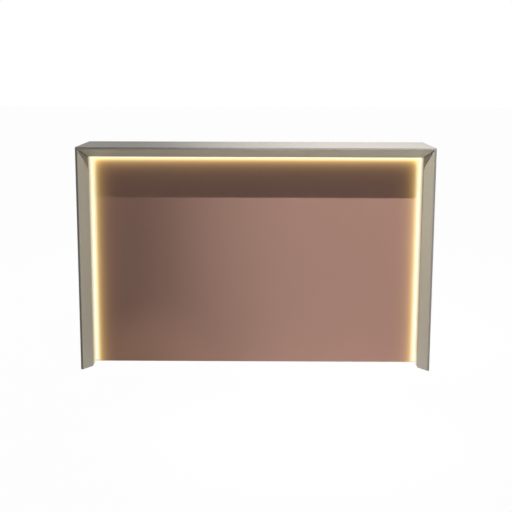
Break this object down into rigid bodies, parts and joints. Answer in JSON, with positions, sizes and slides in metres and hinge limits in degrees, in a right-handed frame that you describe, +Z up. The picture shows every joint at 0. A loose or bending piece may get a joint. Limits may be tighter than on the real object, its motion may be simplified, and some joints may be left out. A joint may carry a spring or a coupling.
{
  "type": "reception desk",
  "caption": "Reception desk with a bevelled mitred portal, a lit recessed front panel, a staff worktop behind, a drawer pedestal and levelling feet.",
  "frame": {"origin": "on the floor, under the middle of the desk's box", "axes": "+X to the right seen by a visitor, +Y from the visitor's side to the staff's side, +Z up"},
  "size_m": [1.8, 0.8, 1.15],
  "materials": {
    "taupe_lacquer": "satin lacquer on board",
    "rose_bronze": "satin metallic laminate on board",
    "core_board": "bare board",
    "aluminium": "anodised",
    "opal_cover": "opal, lit from behind",
    "light_tape": "white tape",
    "greige_oak": "wood-grain melamine",
    "drawer_board": "melamine",
    "zinc_steel": "zinc plated",
    "bronze_metal": "satin bronze",
    "grey_steel": "powder coat",
    "grey_metal": "powder coat",
    "black_plastic": "moulded",
    "cable_sheath": "sheathed two-core lead",
    "nylon": "moulded"
  },
  "bodies": {
    "desk": {"cable_tray": "grey_steel", "front_panel": "rose_bronze", "grommet_ring": "black_plastic", "led_driver": "grey_metal", "led_lead": "cable_sheath", "left_bevel_fascia": "taupe_lacquer", "left_core_board": "core_board", "left_gable": "greige_oak", "left_inner_panel": "taupe_lacquer", "left_led_diffuser": "opal_cover", "left_led_end_cap": "aluminium", "left_led_profile": "aluminium", "left_led_strip": "light_tape", "left_outer_panel": "taupe_lacquer", "left_panel_cleat": "core_board", "lower_drawer_left_rail": "zinc_steel", "lower_drawer_right_rail": "zinc_steel", "pedestal_back": "drawer_board", "pedestal_base": "greige_oak", "pedestal_partition": "greige_oak", "power_inlet": "black_plastic", "right_bevel_fascia": "taupe_lacquer", "right_core_board": "core_board", "right_gable": "greige_oak", "right_inner_panel": "taupe_lacquer", "right_led_diffuser": "opal_cover", "right_led_end_cap": "aluminium", "right_led_profile": "aluminium", "right_led_strip": "light_tape", "right_outer_panel": "taupe_lacquer", "right_panel_cleat": "core_board", "top_bevel_fascia": "taupe_lacquer", "top_board": "taupe_lacquer", "top_core_board": "core_board", "top_led_diffuser": "opal_cover", "top_led_profile": "aluminium", "top_led_strip": "light_tape", "top_soffit_board": "taupe_lacquer", "upper_drawer_left_rail": "zinc_steel", "upper_drawer_right_rail": "zinc_steel", "worktop": "greige_oak"},
    "upper_drawer": {"upper_drawer_front": "taupe_lacquer", "upper_drawer_box": "drawer_board", "upper_drawer_handle": "bronze_metal", "upper_drawer_left_slide": "zinc_steel", "upper_drawer_right_slide": "zinc_steel"},
    "lower_drawer": {"lower_drawer_front": "taupe_lacquer", "lower_drawer_box": "drawer_board", "lower_drawer_handle": "bronze_metal", "lower_drawer_left_slide": "zinc_steel", "lower_drawer_right_slide": "zinc_steel"},
    "rocker": {"rocker_switch": "black_plastic"},
    "cable_cap": {"grommet_cap": "black_plastic"},
    "front_left_foot": {"front_left_foot": "nylon"},
    "front_right_foot": {"front_right_foot": "nylon"},
    "middle_left_foot": {"middle_left_foot": "nylon"},
    "middle_right_foot": {"middle_right_foot": "nylon"},
    "rear_left_foot": {"rear_left_foot": "nylon"},
    "rear_right_foot": {"rear_right_foot": "nylon"}
  },
  "joints": [
    {"name": "upper_drawer_slide", "type": "slide", "parent": "desk", "child": "upper_drawer", "axis": [0, 1, 0], "range_m": [0, 0.34]},
    {"name": "lower_drawer_slide", "type": "slide", "parent": "desk", "child": "lower_drawer", "axis": [0, 1, 0], "range_m": [0, 0.34]},
    {"name": "rocker_turn", "type": "hinge", "parent": "desk", "child": "rocker", "pos_m": [0.7999, 0.3008, 0.5045], "axis": [-1, 0, 0], "range_deg": [0, 20]},
    {"name": "cable_cap_turn", "type": "hinge", "parent": "desk", "child": "cable_cap", "pos_m": [0.15, -0.088, 0.74], "axis": [0, 0, 1], "continuous": true},
    {"name": "front_left_foot_screw", "type": "slide", "parent": "desk", "child": "front_left_foot", "axis": [0, 0, -1], "range_m": [0, 0.012]},
    {"name": "front_right_foot_screw", "type": "slide", "parent": "desk", "child": "front_right_foot", "axis": [0, 0, -1], "range_m": [0, 0.012]},
    {"name": "middle_left_foot_screw", "type": "slide", "parent": "desk", "child": "middle_left_foot", "axis": [0, 0, -1], "range_m": [0, 0.012]},
    {"name": "middle_right_foot_screw", "type": "slide", "parent": "desk", "child": "middle_right_foot", "axis": [0, 0, -1], "range_m": [0, 0.012]},
    {"name": "rear_left_foot_screw", "type": "slide", "parent": "desk", "child": "rear_left_foot", "axis": [0, 0, -1], "range_m": [0, 0.012]},
    {"name": "rear_right_foot_screw", "type": "slide", "parent": "desk", "child": "rear_right_foot", "axis": [0, 0, -1], "range_m": [0, 0.012]}
  ]
}
